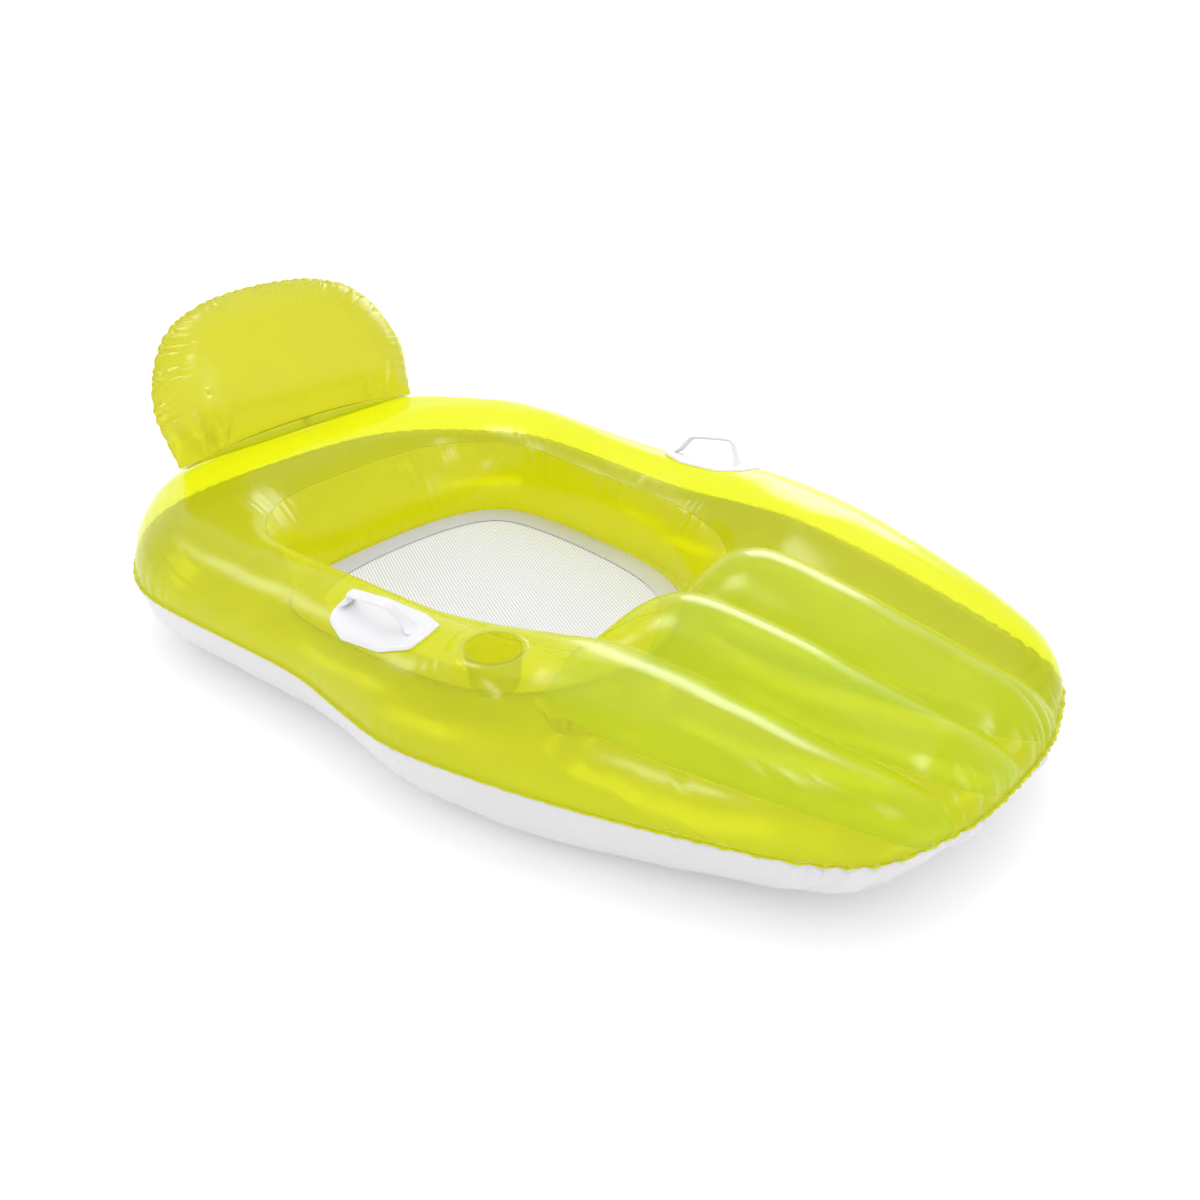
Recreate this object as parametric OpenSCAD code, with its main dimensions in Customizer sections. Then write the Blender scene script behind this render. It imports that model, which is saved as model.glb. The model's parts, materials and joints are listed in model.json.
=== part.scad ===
// Inflatable pool lounge float: an air ring with a ribbed foot deck, a mesh seat hung in its well,
// an inflated backrest on a welded hinge line, a cup holder, two moulded handles and two air valves.
// +X points to the foot end, +Y to the sitter's left, +Z up. The origin is on the ground, below the
// middle of the float. All sizes are in millimetres.

/* [Body] */
// Length over the outer seam
body_l = 1630; // [1550:10:1700]
// Width over the outer seam at its widest
body_w = 976; // [950:2:1010]
// Height of the outer seam above the ground
seam_z = 130; // [128:1:132]
// Thickness of the vinyl film
film_t = 0.4; // [0.3:0.1:0.6]
// Width of the flat weld flange outside the outer seam
flange_w = 6; // [4:1:8]

/* [Seat] */
// Height of the mesh seat above the ground
mesh_z = 60; // [56:1:64]
// Width of the smooth border round the mesh
border_w = 40; // [30:1:50]
// How far the seat wall swells into the well
wall_bulge = 14; // [8:1:18]

/* [Cup holder] */
// Radius of the cup at its mouth
cup_mouth_r = 40; // [38:1:43]
// Radius of the cup at its floor
cup_floor_r = 34; // [33:1:36]
// Depth of the cup
cup_depth = 60; // [55:1:70]

/* [Handles] */
// Length of a handle's base
base_l = 192; // [176:2:200]
// Width of a handle's base
base_w = 90; // [80:2:96]
// Height of a grip over its hinge line
grip_h = 36; // [34:1:42]
// Distance between the two feet of a grip
grip_span = 120; // [110:2:124]

/* [Backrest] */
// Height of the backrest, measured along its face
rest_h = 280; // [270:5:295]
// How far the backrest leans back from upright, in degrees
rest_lean = 20; // [15:1:22]
// How far the front face swells from the seam
rest_front = 50; // [40:1:55]
// How far the rear face swells from the seam
rest_rear = 42; // [35:1:48]

/* [Valves] */
// Radius of a valve's weld flange
valve_flange_r = 15; // [14:1:17]
// Outer radius of a valve's stem
stem_r = 7; // [6:0.5:7.5]
// Radius of the bore in a valve's stem
stem_bore_r = 5; // [4.5:0.1:5]

/* [Hidden] */
$fn = 64;

lime = "#c8d72a";
white = "#f2f2f4";
clear_lime = "#d4de3a";

sx = body_l / 1630;
sy = body_w / 976;

// Half outlines from the back to the foot: the outer seam, and the upper and lower welds of the well.
// The three lists match point for point. Point web_i lies on the side web and the last on the centre.
outer_half = [
  [-815, 0], [-808, 140], [-785, 245], [-725, 340], [-620, 424], [-530, 468], [-430, 478],
  [-250, 467], [-100, 461], [20, 477], [130, 488], [250, 468], [400, 429], [560, 374],
  [690, 320], [762, 258], [800, 150], [810, 100], [814, 50], [815, 0]
];
upper_half = [
  [-545, 0], [-543, 85], [-530, 160], [-495, 222], [-445, 268], [-395, 290], [-335, 298],
  [-225, 290], [-100, 284], [0, 279], [60, 271], [103, 260], [135, 248], [158, 236],
  [177, 224], [192, 211], [205, 195], [217, 135], [223, 68], [225, 0]
];
lower_half = [
  [-475, 0], [-473, 85], [-463, 160], [-440, 222], [-408, 262], [-365, 281], [-315, 288],
  [-215, 288], [-100, 280], [-8, 264], [38, 248], [70, 231], [90, 217], [104, 206],
  [113, 197], [120, 189], [127, 180], [152, 132], [176, 68], [185, 0]
];
web_i = 16;
steps = 2; // points made for each span of an outline
rows = 11; // rows of points from the outer seam to the well

// Height of the air ring above and below the seam, along the length
rise = [[-815, 104], [-690, 114], [-450, 111], [-100, 110], [60, 116], [200, 134], [350, 137],
        [480, 125], [600, 104], [700, 86], [815, 68]];
drop = [[-815, 112], [-690, 136], [-450, 121], [-100, 119], [60, 126], [200, 136], [350, 138],
        [480, 124], [600, 104], [700, 86], [815, 68]];
edge_rise = [[-545, 62], [-400, 68], [60, 66], [200, 50]]; // height of the upper well weld
groove = 0.36;   // depth of a web's groove as a share of the ring's height
lap = 1;         // clearance between films that meet at a weld
web_lap = 4;     // clearance between a web and the lower film
weld_gap = 0.05; // clearance between the two films pressed together in the flange
base_gap = 0.8;  // clearance between the film and a moulding welded to it
through = 30;    // length of a cutter that passes right through a film

cup_at = [223, -368];
cup_seat = 131;  // height of the flat seat round the cup, above the seam
cup_flat_r = 46;
cup_fade = 34;
handle_at = [14, 392];
rest_x = -690;   // the backrest's hinge line
rest_foot = 268; // half length of the hinge line

function mirrored(h) = concat([for (p = h) [p.x, -p.y]], [for (i = [len(h) - 2 : -1 : 1]) h[i]]);
function scaled(h) = [for (p = h) [p.x * sx, p.y * sy]];
function between(a, b, c, d, t) =
  (2 * b + (c - a) * t + (2 * a - 5 * b + 4 * c - d) * t ^ 2 + (3 * b - a - 3 * c + d) * t ^ 3) / 2;
function loop(p, n = steps) = let (m = len(p))
  [for (i = [0 : m - 1], k = [0 : n - 1])
    between(p[(i + m - 1) % m], p[i], p[(i + 1) % m], p[(i + 2) % m], k / n)];
function leg_distance(q, a, b) = let (t = (q - a) * (b - a) / ((b - a) * (b - a)))
  norm(q - a - (b - a) * min(1, max(0, t)));
function distance(q, p, legs) = min([for (i = [0 : legs - 1]) leg_distance(q, p[i], p[(i + 1) % len(p)])]);
function round_in(t) = sqrt(1 - (1 - min(1, max(0, t))) ^ 2);
function fade(t) = let (c = min(1, max(0, t))) c * c * (3 - 2 * c);
// Unit normals of a closed loop in plan, pointing out of it
function normals(p) = let (m = len(p))
  [for (i = [0 : m - 1]) let (d = p[(i + 1) % m] - p[(i + m - 1) % m]) [d.y, -d.x] / norm(d)];
function grown(p, by) = let (n = normals(p)) [for (i = [0 : len(p) - 1]) p[i] + n[i] * by];

outer = loop(mirrored(scaled(outer_half)));
upper = loop(mirrored(scaled(upper_half)));
lower = loop(mirrored(scaled(lower_half)));
around = len(outer);

// The side webs run straight from the well's front corner to the foot.
web_from = [upper_half[web_i].x * sx, upper_half[web_i].y * sy];
web_to = [outer_half[web_i].x * sx, outer_half[web_i].y * sy];
function web_y(x) = web_from.y + (web_to.y - web_from.y) * (x - web_from.x) / (web_to.x - web_from.x);
// 1 on a web, 0 on the crest of a lobe
function web_dip(q) =
  let (wy = web_y(q.x), y = abs(q.y), half = 110)
  q.x < 100 || (q.x < 150 && y > wy) ? 0
  : y < wy ? (2 * y / wy - 1) ^ 2
  : fade((q.x - 150) / 110) * (1 - min(1, (y - wy) / half)) ^ 2;

// Height of the film above or below the seam: a round rise from the outer seam, less the webs' grooves,
// times a round fall to the height of the well's weld
function swell(q, table, dip) = let (h = lookup(q.x / sx, table))
  h * round_in(distance(q, outer, around) / h) * (1 - groove * dip);
function well_round(q, edge, table, weld) =
  let (h = lookup(q.x / sx, table), e = lookup(q.x / sx, weld))
  round_in(1 - sqrt(1 - (e / h) ^ 2) + distance(q, edge, around) / h);
function top_free(q) = swell(q, rise, web_dip(q)) * well_round(q, upper, rise, edge_rise);
function top_z(q) =
  let (k = fade(1 - (norm(q - cup_at) - cup_flat_r) / cup_fade))
  seam_z + top_free(q) * (1 - k) + cup_seat * k;
lower_weld = [[-800, seam_z - mesh_z], [800, seam_z - mesh_z]];
function bottom_z(q) = let (dip = web_dip(q) * fade(distance(q, lower, around) / 80))
  seam_z - min(seam_z, swell(q, drop, dip) * well_round(q, lower, drop, lower_weld));

function share(k) = (k / rows) ^ 1.6;
function spoke(i, k, edge) = outer[i] + (edge[i] - outer[i]) * share(k);
function at3(q, z) = [q.x, q.y, z];

// Points moved along the surface's normal, on a grid closed round its columns
function grid_normal(g, j, i) =
  let (m = len(g[0]), r = len(g) - 1)
  let (du = g[j][(i + 1) % m] - g[j][(i + m - 1) % m], dv = g[min(r, j + 1)][i] - g[max(0, j - 1)][i])
  let (n = cross(du, dv)) n / norm(n);
function shifted(g, by) =
  [for (j = [0 : len(g) - 1]) [for (i = [0 : len(g[0]) - 1]) g[j][i] + grid_normal(g, j, i) * by]];

// A solid between two grids of the same size. Grid a's normals, columns by rows, point out of the solid.
// A closed grid joins its last column to its first, and a capped one is closed over its last row.
module shell(a, b, closed = true, capped = false) {
  r = len(a);
  m = len(a[0]);
  cols = closed ? m : m - 1;
  size = r * m;
  function middle(row) = [for (p = row) 1] * row / m;
  points = concat([for (g = [a, b], row = g, p = row) p], [middle(a[r - 1]), middle(b[r - 1])]);
  function at(side, j, i) = side * size + j * m + i % m;
  skins = [for (j = [0 : r - 2], i = [0 : cols - 1], f = [
    [at(0, j, i), at(0, j, i + 1), at(0, j + 1, i + 1)],
    [at(0, j, i), at(0, j + 1, i + 1), at(0, j + 1, i)],
    [at(1, j, i), at(1, j + 1, i + 1), at(1, j, i + 1)],
    [at(1, j, i), at(1, j + 1, i), at(1, j + 1, i + 1)]]) f];
  first = [for (i = [0 : cols - 1], f = [
    [at(0, 0, i), at(1, 0, i + 1), at(0, 0, i + 1)],
    [at(0, 0, i), at(1, 0, i), at(1, 0, i + 1)]]) f];
  last = capped
    ? [for (i = [0 : cols - 1], f = [
      [at(0, r - 1, i), at(0, r - 1, i + 1), 2 * size],
      [at(1, r - 1, i + 1), at(1, r - 1, i), 2 * size + 1]]) f]
    : [for (i = [0 : cols - 1], f = [
      [at(0, r - 1, i), at(0, r - 1, i + 1), at(1, r - 1, i + 1)],
      [at(0, r - 1, i), at(1, r - 1, i + 1), at(1, r - 1, i)]]) f];
  ends = closed ? [] : [for (j = [0 : r - 2], f = [
    [at(0, j, 0), at(0, j + 1, 0), at(1, j + 1, 0)],
    [at(0, j, 0), at(1, j + 1, 0), at(1, j, 0)],
    [at(0, j, m - 1), at(1, j + 1, m - 1), at(0, j + 1, m - 1)],
    [at(0, j, m - 1), at(1, j, m - 1), at(1, j + 1, m - 1)]]) f];
  polyhedron(points, concat(skins, first, last, ends), convexity = 10);
}

// The upper film, from the weld flange over the ring and the deck to the well
module top_panel() {
  flange = [for (p = grown(outer, flange_w)) at3(p, seam_z + film_t)];
  films = [for (k = [0 : rows]) [for (i = [0 : around - 1])
    let (q = spoke(i, k, upper)) at3(q, k == 0 ? seam_z + film_t : top_z(q) + film_t)]];
  skin = concat([flange], films);
  color(lime, 0.7) difference() {
    shell(skin, shifted(skin, -film_t));
    translate(at3(cup_at, seam_z + cup_seat)) cylinder(r = cup_mouth_r + 1.5, h = through, center = true);
    on_ring_valve() cylinder(r = valve_hole_r, h = through, center = true);
  }
}

// The lower film, flat where it rests on the ground
module bottom_panel() {
  flange_z = seam_z - weld_gap - film_t;
  flange = [for (p = grown(outer, flange_w)) at3(p, flange_z)];
  films = [for (k = [0 : rows]) [for (i = [0 : around - 1])
    let (q = spoke(i, k, lower)) at3(q, k == 0 ? flange_z : bottom_z(q))]];
  skin = concat([flange], films);
  color(white) shell(shifted(skin, film_t), skin);
}

// The wall of the well, swelling in from the air pressure behind it
module seat_wall() {
  inward = normals(upper);
  cuts = 4;
  skin = [for (j = [0 : cuts]) [for (i = [0 : around - 1])
    let (w = j / cuts, top = at3(upper[i], top_z(upper[i]) - lap), low = at3(lower[i], mesh_z + lap))
    top + (low - top) * w - at3(inward[i], 0) * wall_bulge * sin(180 * w)]];
  color(lime, 0.7) shell(skin, shifted(skin, -film_t));
}

// An upright film that ties the deck's upper film to the lower one
module web(from, to) {
  cut = [for (k = [1 : rows - 1]) from + (to - from) * (1 - share(k))];
  function side(y) = [for (q = cut)
    [[q.x, q.y + y, bottom_z(q) + web_lap], [q.x, q.y + y, top_z(q) - 2 * lap]]];
  color(lime, 0.6) shell(side(-film_t / 2), side(film_t / 2), closed = false);
}
module right_web() {
  web([web_from.x, -web_from.y], [web_to.x, -web_to.y]);
}
module centre_web() {
  web([upper_half[19].x * sx, 0], [outer_half[19].x * sx, 0]);
}
module left_web() {
  web(web_from, web_to);
}

// The mesh sheet of the seat and the smooth strip welded over its edge
mesh_t = 1;
border_t = 0.6;
border_z = mesh_z - 0.4;
module mesh_floor() {
  color(white) translate([0, 0, border_z - 0.1 - mesh_t]) linear_extrude(mesh_t) polygon(grown(lower, -2));
}
module mesh_border() {
  color("#e6e6ec") translate([0, 0, border_z]) linear_extrude(border_t) difference() {
    polygon(grown(lower, -3));
    polygon(grown(lower, -3 - border_w));
  }
}

// A tapered cup with a rolled rim, and the washer that welds it to the upper film
cup_ring_w = 8;
cup_ring_t = 0.8;
cup_ring_z = seam_z + cup_seat + film_t + 1;
module cup_holder() {
  wall = 1.2;
  rim_r = 1.6;
  color(clear_lime, 0.8) translate(at3(cup_at, cup_ring_z + cup_ring_t + 0.2)) rotate_extrude() union() {
    polygon([[0, -cup_depth], [cup_floor_r, -cup_depth], [cup_mouth_r, 0], [cup_mouth_r, rim_r],
             [cup_mouth_r - wall, rim_r], [cup_mouth_r - wall, 0], [cup_floor_r - wall, wall - cup_depth],
             [0, wall - cup_depth]]);
    translate([cup_mouth_r, rim_r]) circle(rim_r);
  }
}
module cup_ring() {
  color(clear_lime, 0.8) translate(at3(cup_at, cup_ring_z)) difference() {
    cylinder(r = cup_mouth_r + cup_ring_w, h = cup_ring_t);
    cylinder(r = cup_mouth_r + 0.6, h = through, center = true);
  }
}

// A handle's base follows the ring under it. side is -1 on the right and 1 on the left.
base_t = 2.4;
base_shift = 9;  // how far the base's middle lies behind the grip's, to the foot end
function base_half(u) = base_w / 2 * (1 - 0.4 * max(0, abs(u) - 0.45) / 0.55);
function base_point(u, v, side) =
  [handle_at.x + base_shift + u * base_l / 2, side * (handle_at.y + v * base_half(u))];
module handle_base(side) {
  function layer(z) = [for (v = [-1 : 0.25 : 1]) [for (u = [-1 : 0.125 : 1])
    let (q = base_point(u, side * v, side)) at3(q, top_z(q) + z)]];
  under = film_t + base_gap;
  color(white) shell(layer(under + base_t), layer(under), closed = false);
}
module right_handle_base() {
  handle_base(-1);
}
module left_handle_base() {
  handle_base(1);
}

// A grip is a band bent into an arch, on two short round feet that lie along its hinge line.
foot_r = 3.5;
foot_l = 14;
grip_half = grip_span / 2;
grip_lean = 25;  // how far a grip leans outwards, square to the ring
grip_foot_z = [for (x = [-grip_half, grip_half]) top_z(handle_at + [x, 0])];
grip_pitch = atan((grip_foot_z[1] - grip_foot_z[0]) / grip_span);
hinge_z = (grip_foot_z[0] + grip_foot_z[1]) / 2 + film_t + base_gap + base_t + foot_r + 1.2;
module grip(side) {
  band_t = 6;
  band_half = 5.5;
  crown_half = 7.5;
  skew = 0.1;  // the crown rises to the foot end
  top = grip_h - band_t / 2;
  // Stations up one side of the arch: along the hinge line, up, and half the band's width
  rising = [[grip_half, 2, band_half], [grip_half - 3, 9, band_half], [grip_half - 8, 19, band_half],
            [grip_half - 12, top - 6, crown_half], [grip_half - 19, top, crown_half]];
  falling = [for (i = [len(rising) - 1 : -1 : 0]) [-rising[i].x, rising[i].y, rising[i].z]];
  level = concat(rising, [[0, top + 0.6, crown_half]], falling);
  arch = [for (s = level) [s.x, s.y + skew * s.x * s.y / top, s.z]];
  last = len(arch) - 1;
  function outward(i) = let (d = arch[min(last, i + 1)] - arch[max(0, i - 1)], n = norm([d.x, d.y]))
    [d.y, -d.x] / n;
  // A flat band with rounded edges: eight corners round each station
  corners = [[1, -0.55], [0.5, -0.9], [-0.5, -0.9], [-1, -0.55], [-1, 0.55], [-0.5, 0.9], [0.5, 0.9], [1, 0.55]];
  band = [for (i = [0 : last]) [for (c = corners)
    let (n = outward(i), t = band_t / 2 * c.x, w = arch[i].z * c.y) [arch[i].x + n.x * t, w, arch[i].y + n.y * t]]];
  color(white) translate([handle_at.x, side * handle_at.y, hinge_z])
    rotate([0, -grip_pitch, 0]) rotate([-side * grip_lean, 0, 0]) {
      tube(band);
      for (end = [-1, 1]) translate([end * grip_half, 0, 0]) rotate([0, 90, 0])
        cylinder(r = foot_r, h = foot_l, center = true);
    }
}
// A solid through rings of the same number of points
module tube(rings) {
  n = len(rings);
  m = len(rings[0]);
  sides = [for (j = [0 : n - 2], i = [0 : m - 1], f = [
    [j * m + i, j * m + (i + 1) % m, (j + 1) * m + (i + 1) % m],
    [j * m + i, (j + 1) * m + (i + 1) % m, (j + 1) * m + i]]) f];
  caps = [[for (i = [m - 1 : -1 : 0]) i], [for (i = [0 : m - 1]) (n - 1) * m + i]];
  polyhedron([for (ring = rings, p = ring) p], concat(sides, caps), convexity = 6);
}
module right_grip() {
  grip(-1);
}
module left_grip() {
  grip(1);
}

// The backrest: two films welded round their edge, on a hinge line over the back of the ring.
// Its half outline runs up from the hinge line to the top: height, then half width.
strip_gap = 0.5;
strip_t = 0.5;
rest_z = top_z([rest_x, 0]) + film_t + strip_gap + strip_t + 1.4;
rest_half = [
  [1, 0], [1, 90], [1, 180], [2, rest_foot], [14, 286], [55, 293], [100, 290], [148, 275], [196, 248],
  [234, 210], [260, 155], [275, 92], [280, 0]
];
rest_loop = loop([for (p = mirrored(rest_half)) [p.y, p.x * rest_h / 280]]);
rest_core = [0, rest_h / 2];
rest_spread = 115;   // distance from the edge at which a face reaches its full depth
rest_fold = 105;     // height over the hinge line at which it does
rest_cuts = [0, 0.05, 0.12, 0.22, 0.34, 0.48, 0.64, 0.82];
module on_rest() {
  translate([rest_x, 0, rest_z]) rotate([0, -rest_lean, 0]) children();
}
// How far a face stands off the seam's plane. It starts gently at the hinge line, to leave room to fold.
rest_arch = [for (i = [6 : len(rest_loop) - 6]) rest_loop[i]];
function rest_depth(q, depth) =
  depth * round_in(distance(q, rest_arch, len(rest_arch) - 1) / rest_spread)
  * (1 - (1 - min(1, q.y / rest_fold)) ^ 2);
function rest_point(v, p, depth, side) =
  let (q = p + (rest_core - p) * v) [side * (film_t / 2 + rest_depth(q, depth)), q.x, q.y];
// A face of the backrest: x off the seam's plane, y across and z up its face
module rest_face(depth, side) {
  faces = [for (v = rest_cuts) [for (p = rest_loop) rest_point(v, p, depth, side)]];
  if (side > 0) shell(shifted(faces, -film_t), faces, capped = true);
  else shell(faces, shifted(faces, -film_t), capped = true);
}
module backrest_front() {
  color(lime, 0.8) on_rest() rest_face(rest_front, 1);
}
module backrest_rear() {
  color(white) on_rest() difference() {
    rest_face(rest_rear, -1);
    in_rest_rear() cylinder(r = valve_hole_r, h = through, center = true);
  }
}
// The strip of film that the backrest is welded to
module backrest_strip() {
  half_w = 12;
  under = film_t + strip_gap;
  function layer(z) = [for (x = [-half_w : half_w / 2 : half_w]) [for (k = [-10 : 10])
    let (q = [rest_x + x, rest_foot * k / 10]) at3(q, top_z(q) + z)]];
  color(lime, 0.8) shell(layer(under + strip_t), layer(under), closed = false);
}

// Valves: each is drawn on +Z, with the film's surface at z = 0
stem_out = 9;
stem_in = 10;
collar_r = stem_r + 1;
collar_t = 1.5;
cap_t = 2;
pin_l = 8;
flap_t = 0.8;
weld_ring_t = 0.8;
valve_hole_r = collar_r + 0.8;
ring_valve_q = [-765, 60];
ring_valve_tilt = 34;
rest_valve_q = [-150, 110]; // where the rear face runs parallel to the seam's plane
module on_ring_valve() {
  translate(at3(ring_valve_q, top_z(ring_valve_q))) rotate([0, -ring_valve_tilt, 0]) children();
}
module in_rest_rear() {
  translate([-rest_rear - film_t / 2, rest_valve_q.x, rest_valve_q.y]) rotate([0, -90, 0]) children();
}
module on_back_valve() {
  on_rest() in_rest_rear() children();
}
module valve_base() {
  color(clear_lime) translate([0, 0, base_gap]) difference() {
    cylinder(r = valve_flange_r, h = weld_ring_t);
    cylinder(r = collar_r + 0.6, h = through, center = true);
  }
}
module valve_stem() {
  color(clear_lime) difference() {
    union() {
      translate([0, 0, -stem_in]) cylinder(r = stem_r, h = stem_in + stem_out);
      translate([0, 0, stem_out - collar_t]) cylinder(r = collar_r, h = collar_t);
    }
    cylinder(r = stem_bore_r, h = through, center = true);
  }
}
module valve_flap() {
  color(clear_lime) translate([0, 0, -stem_in - 0.4 - flap_t]) cylinder(r = stem_r - 1, h = flap_t);
}
module valve_plug() {
  color(clear_lime) {
    translate([0, 0, stem_out + 0.1]) cylinder(r = collar_r, h = cap_t);
    translate([0, 0, stem_out - pin_l]) cylinder(r = stem_bore_r - 0.05, h = pin_l + cap_t / 2);
  }
}
// A flat strap in a half ring beside the collar, from the stem to the plug
module valve_tether() {
  bend_r = 5;
  strap = [1.6, 0.8];
  color(clear_lime) translate([collar_r - 1, 0, stem_out - 0.6]) rotate([0, 0, -90])
    rotate_extrude(angle = 180) translate([bend_r, 0]) square(strap, center = true);
}
module ring_valve_base() {
  on_ring_valve() valve_base();
}
module ring_valve_stem() {
  on_ring_valve() valve_stem();
}
module ring_valve_flap() {
  on_ring_valve() valve_flap();
}
module ring_valve_plug() {
  on_ring_valve() valve_plug();
}
module ring_valve_tether() {
  on_ring_valve() valve_tether();
}
module back_valve_base() {
  on_back_valve() valve_base();
}
module back_valve_stem() {
  on_back_valve() valve_stem();
}
module back_valve_flap() {
  on_back_valve() valve_flap();
}
module back_valve_plug() {
  on_back_valve() valve_plug();
}
module back_valve_tether() {
  on_back_valve() valve_tether();
}

top_panel();
bottom_panel();
seat_wall();
right_web();
centre_web();
left_web();
mesh_floor();
mesh_border();
cup_holder();
cup_ring();
right_handle_base();
left_handle_base();
right_grip();
left_grip();
backrest_strip();
backrest_front();
backrest_rear();
ring_valve_base();
ring_valve_stem();
ring_valve_flap();
ring_valve_plug();
ring_valve_tether();
back_valve_base();
back_valve_stem();
back_valve_flap();
back_valve_plug();
back_valve_tether();
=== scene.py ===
"""Looks of the inflatable pool lounge float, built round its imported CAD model.

Lengths are in metres, in the CAD's frame: +X to the foot end, +Y to the sitter's left, +Z up.
The films are rebuilt finely from the same outlines and heights as the CAD's, with the puckers that
a flat sheet gathers into at its welds when it is blown up. Heights and ways along a seam are worked
out on whole arrays of points: rows from weld to weld, by columns round the float.
"""
import json
import math

import bmesh
import bpy
import numpy as np
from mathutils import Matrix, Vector


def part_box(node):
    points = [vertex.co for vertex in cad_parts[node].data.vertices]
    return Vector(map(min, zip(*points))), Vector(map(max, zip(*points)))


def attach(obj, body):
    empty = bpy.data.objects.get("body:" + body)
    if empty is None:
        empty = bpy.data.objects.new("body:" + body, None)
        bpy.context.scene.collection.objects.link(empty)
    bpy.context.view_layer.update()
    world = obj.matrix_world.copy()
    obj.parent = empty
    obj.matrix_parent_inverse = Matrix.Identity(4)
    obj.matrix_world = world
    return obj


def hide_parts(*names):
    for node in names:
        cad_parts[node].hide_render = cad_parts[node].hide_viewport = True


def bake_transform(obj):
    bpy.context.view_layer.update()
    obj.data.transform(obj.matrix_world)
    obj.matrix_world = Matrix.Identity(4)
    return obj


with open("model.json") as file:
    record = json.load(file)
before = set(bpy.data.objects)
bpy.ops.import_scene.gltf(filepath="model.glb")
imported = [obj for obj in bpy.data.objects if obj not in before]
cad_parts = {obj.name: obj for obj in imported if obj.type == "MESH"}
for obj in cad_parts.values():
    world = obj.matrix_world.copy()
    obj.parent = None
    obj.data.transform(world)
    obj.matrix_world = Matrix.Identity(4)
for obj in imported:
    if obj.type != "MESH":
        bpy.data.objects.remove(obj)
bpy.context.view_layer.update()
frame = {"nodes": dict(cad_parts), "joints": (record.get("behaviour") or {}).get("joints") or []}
NODES = frame["nodes"]
JOINTS = {j["name"]: j for j in frame["joints"]}

# ---------------------------------------------------------------------------------------------
# Driving sizes
FLANGE = 0.006          # width of the weld outside the outer seam
MESH_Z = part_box("mesh_floor")[1].z
PANEL_LOW, PANEL_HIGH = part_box("top_panel")
SEAM_L = PANEL_HIGH.x - PANEL_LOW.x - 2 * FLANGE
SEAM_W = PANEL_HIGH.y - PANEL_LOW.y - 2 * FLANGE
SEAM_Z = 0.130
SX, SY = SEAM_L / 1.630, SEAM_W / 0.976   # the outlines below are for a seam 1.630 long and 0.976 wide
SPAN = 32               # points in each span of an outline, each of them the start of a spoke
ROWS = 56               # rings of points from the outer seam to the well
ROW_CROWDING = 1.6      # how much closer these rings lie next to the outer seam
GROOVE = 0.36           # depth of a groove over a web, as a share of the ring's height

# Half outlines, back to foot: the outer seam, and the well's upper and lower welds.
OUTER_HALF = [
    (-0.815, 0), (-0.808, 0.140), (-0.785, 0.245), (-0.725, 0.340), (-0.620, 0.424), (-0.530, 0.468),
    (-0.430, 0.478), (-0.250, 0.467), (-0.100, 0.461), (0.020, 0.477), (0.130, 0.488), (0.250, 0.468),
    (0.400, 0.429), (0.560, 0.374), (0.690, 0.320), (0.762, 0.258), (0.800, 0.150), (0.810, 0.100),
    (0.814, 0.050), (0.815, 0)]
UPPER_HALF = [
    (-0.545, 0), (-0.543, 0.085), (-0.530, 0.160), (-0.495, 0.222), (-0.445, 0.268), (-0.395, 0.290),
    (-0.335, 0.298), (-0.225, 0.290), (-0.100, 0.284), (0, 0.279), (0.060, 0.271), (0.103, 0.260),
    (0.135, 0.248), (0.158, 0.236), (0.177, 0.224), (0.192, 0.211), (0.205, 0.195), (0.217, 0.135),
    (0.223, 0.068), (0.225, 0)]
LOWER_HALF = [
    (-0.475, 0), (-0.473, 0.085), (-0.463, 0.160), (-0.440, 0.222), (-0.408, 0.262), (-0.365, 0.281),
    (-0.315, 0.288), (-0.215, 0.288), (-0.100, 0.280), (-0.008, 0.264), (0.038, 0.248), (0.070, 0.231),
    (0.090, 0.217), (0.104, 0.206), (0.113, 0.197), (0.120, 0.189), (0.127, 0.180), (0.152, 0.132),
    (0.176, 0.068), (0.185, 0)]
WEB_AT = 16             # the outlines' point on the side webs

# Height of the ring over the seam and below it, along its length: (x, height)
RISE = [(-0.815, 0.104), (-0.690, 0.114), (-0.450, 0.111), (-0.100, 0.110), (0.060, 0.116), (0.200, 0.134),
        (0.350, 0.137), (0.480, 0.125), (0.600, 0.104), (0.700, 0.086), (0.815, 0.068)]
DROP = [(-0.815, 0.112), (-0.690, 0.136), (-0.450, 0.121), (-0.100, 0.119), (0.060, 0.126), (0.200, 0.136),
        (0.350, 0.138), (0.480, 0.124), (0.600, 0.104), (0.700, 0.086), (0.815, 0.068)]
EDGE_RISE = [(-0.545, 0.062), (-0.400, 0.068), (0.060, 0.066), (0.200, 0.050)]

# ---------------------------------------------------------------------------------------------
# Curves and surfaces


def mirrored(half):
    """A closed loop from a half outline: down the right side to the foot and back up the left."""
    half = [(x * SX, y * SY) for x, y in half]
    return [(x, -y) for x, y in half] + half[-2:0:-1]


def smoothed(p, spread):
    """Points of a closed loop, averaged over their neighbours with a bell of that many points."""
    k = np.fft.fftfreq(len(p))
    bell = np.exp(-2 * (np.pi * k * spread) ** 2)[:, None]
    return np.fft.ifft(np.fft.fft(p, axis=0) * bell, axis=0).real


def spline(points, n, spread=6):
    """A closed curve through the points, n points to a span, with its turns softened."""
    p = np.asarray(points, float)
    a, b, c, d = (np.roll(p, k, 0)[:, None] for k in (1, 0, -1, -2))
    t = np.arange(n)[None, :, None] / n
    q = 0.5 * (2 * b + (c - a) * t + (2 * a - 5 * b + 4 * c - d) * t ** 2
               + (3 * b - a - 3 * c + d) * t ** 3)
    return smoothed(q.reshape(-1, p.shape[1]), spread)


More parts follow.
